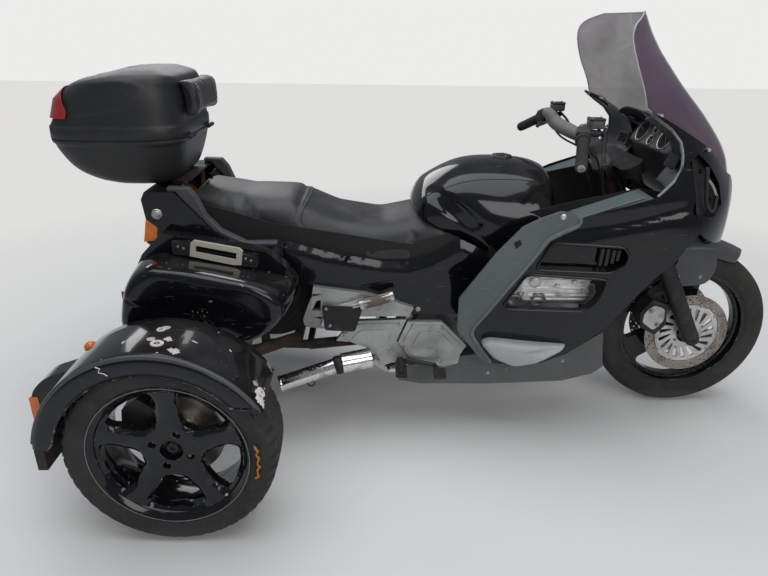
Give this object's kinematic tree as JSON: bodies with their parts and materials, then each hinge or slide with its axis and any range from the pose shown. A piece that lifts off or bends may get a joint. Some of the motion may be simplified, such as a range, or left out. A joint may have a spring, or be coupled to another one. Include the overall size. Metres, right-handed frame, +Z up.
{
  "type": "motor trike",
  "caption": "Faired touring motorcycle converted to a trike, with two car wheels at the rear, hinged panniers, a top box and working steering.",
  "frame": {"origin": "on the ground, in the middle of the machine's length and width", "axes": "+X forward, +Y to the rider's left, +Z up"},
  "size_m": [2.5012, 1.57, 1.412],
  "materials": {
    "black_paint": "gloss, scuffed",
    "frame_paint": "satin, rusty in places",
    "chassis_steel": "dull, dirty",
    "cast_alloy": "dull, corroded",
    "black_alloy": "satin",
    "bright_alloy": "machined",
    "disc_steel": "ground, rusty edge",
    "chrome": "polished, pitted",
    "tyre_rubber": "matt",
    "grip_rubber": "matt, worn",
    "black_plastic": "satin",
    "grey_plastic": "matt, faded",
    "pocket_plastic": "matt, faded",
    "cream_plastic": "matt",
    "seat_cover": "grained, dusty",
    "red_lens": "clear red",
    "orange_lens": "clear orange",
    "clear_glass": "clear",
    "screen": "smoked"
  },
  "bodies": {
    "chassis": {"axle_cradle": "chassis_steel", "belly_pan": "black_plastic", "dash_cowl": "black_plastic", "engine": "cast_alloy", "exhausts": "chrome", "fairing_shelves": "black_plastic", "fairing_stays": "frame_paint", "fairing_trims": "grey_plastic", "foot_controls": "black_alloy", "frame": "frame_paint", "gauges": "black_plastic", "grab_rails": "grey_plastic", "handbrake_lever": "bright_alloy", "headlamp": "clear_glass", "heel_plates": "bright_alloy", "lamp_pods": "black_paint", "luggage_rack": "frame_paint", "marker_lamps": "orange_lens", "mirror_housings": "black_paint", "nose_cowl": "black_paint", "pannier_handles": "cream_plastic", "pannier_trays": "black_plastic", "peg_brackets": "bright_alloy", "radiator": "black_alloy", "rear_axle": "chassis_steel", "rear_calipers": "black_alloy", "rear_fenders": "black_paint", "rear_lamps": "red_lens", "screen_screws": "bright_alloy", "seat": "seat_cover", "side_fairings": "black_paint", "side_panels": "black_plastic", "tail_cowl": "black_paint", "tank": "black_paint", "tip_over_guards": "bright_alloy", "topbox_base": "black_plastic", "valve_covers": "bright_alloy", "windscreen": "screen"},
    "steering": {"fork": "black_alloy", "handlebar": "grey_plastic", "grips": "grip_rubber", "front_mudguard": "black_paint", "front_calipers": "black_alloy"},
    "front_wheel": {"front_tyre": "tyre_rubber", "front_rim": "black_alloy", "front_discs": "disc_steel"},
    "rear_wheel_right": {"rear_tyre_right": "tyre_rubber", "rear_rim_right": "black_alloy", "rear_disc_right": "disc_steel"},
    "rear_wheel_left": {"rear_tyre_left": "tyre_rubber", "rear_rim_left": "black_alloy", "rear_disc_left": "disc_steel"},
    "topbox_lid": {"topbox_lid": "black_paint", "topbox_pad": "seat_cover", "topbox_reflectors": "red_lens"},
    "pannier_lid_right": {"pannier_lid_right": "black_paint"},
    "pannier_lid_left": {"pannier_lid_left": "black_paint"},
    "pocket_lid_right": {"pocket_lid_right": "pocket_plastic"},
    "pocket_lid_left": {"pocket_lid_left": "pocket_plastic"}
  },
  "joints": [
    {"name": "steering", "type": "hinge", "parent": "chassis", "child": "steering", "pos_m": [0.6183, 0, 0.8], "axis": [-0.4617, 0, 0.887], "range_deg": [-30, 30]},
    {"name": "front_wheel_spin", "type": "hinge", "parent": "steering", "child": "front_wheel", "pos_m": [0.93475, 0, 0.3165], "axis": [0, 1, 0], "continuous": true},
    {"name": "rear_wheel_right_spin", "type": "hinge", "parent": "chassis", "child": "rear_wheel_right", "pos_m": [-0.78725, -0.677, 0.2905], "axis": [0, 1, 0], "continuous": true},
    {"name": "rear_wheel_left_spin", "type": "hinge", "parent": "chassis", "child": "rear_wheel_left", "pos_m": [-0.78725, 0.677, 0.2905], "axis": [0, 1, 0], "continuous": true},
    {"name": "topbox_lid_hinge", "type": "hinge", "parent": "chassis", "child": "topbox_lid", "pos_m": [-0.81425, 0, 1.03515], "axis": [0, 1, 0], "range_deg": [0, 80]},
    {"name": "pannier_lid_right_hinge", "type": "hinge", "parent": "chassis", "child": "pannier_lid_right", "pos_m": [-0.76525, -0.3, 0.457], "axis": [1, 0, 0], "range_deg": [0, 14]},
    {"name": "pannier_lid_left_hinge", "type": "hinge", "parent": "chassis", "child": "pannier_lid_left", "pos_m": [-0.76525, 0.3, 0.457], "axis": [-1, 0, 0], "range_deg": [0, 14]},
    {"name": "pocket_lid_right_hinge", "type": "hinge", "parent": "chassis", "child": "pocket_lid_right", "pos_m": [0.389, -0.312, 0.82906], "axis": [0.9444, 0, 0.3289], "range_deg": [0, 60]},
    {"name": "pocket_lid_left_hinge", "type": "hinge", "parent": "chassis", "child": "pocket_lid_left", "pos_m": [0.389, 0.312, 0.82906], "axis": [-0.9444, 0, -0.3289], "range_deg": [0, 60]}
  ]
}
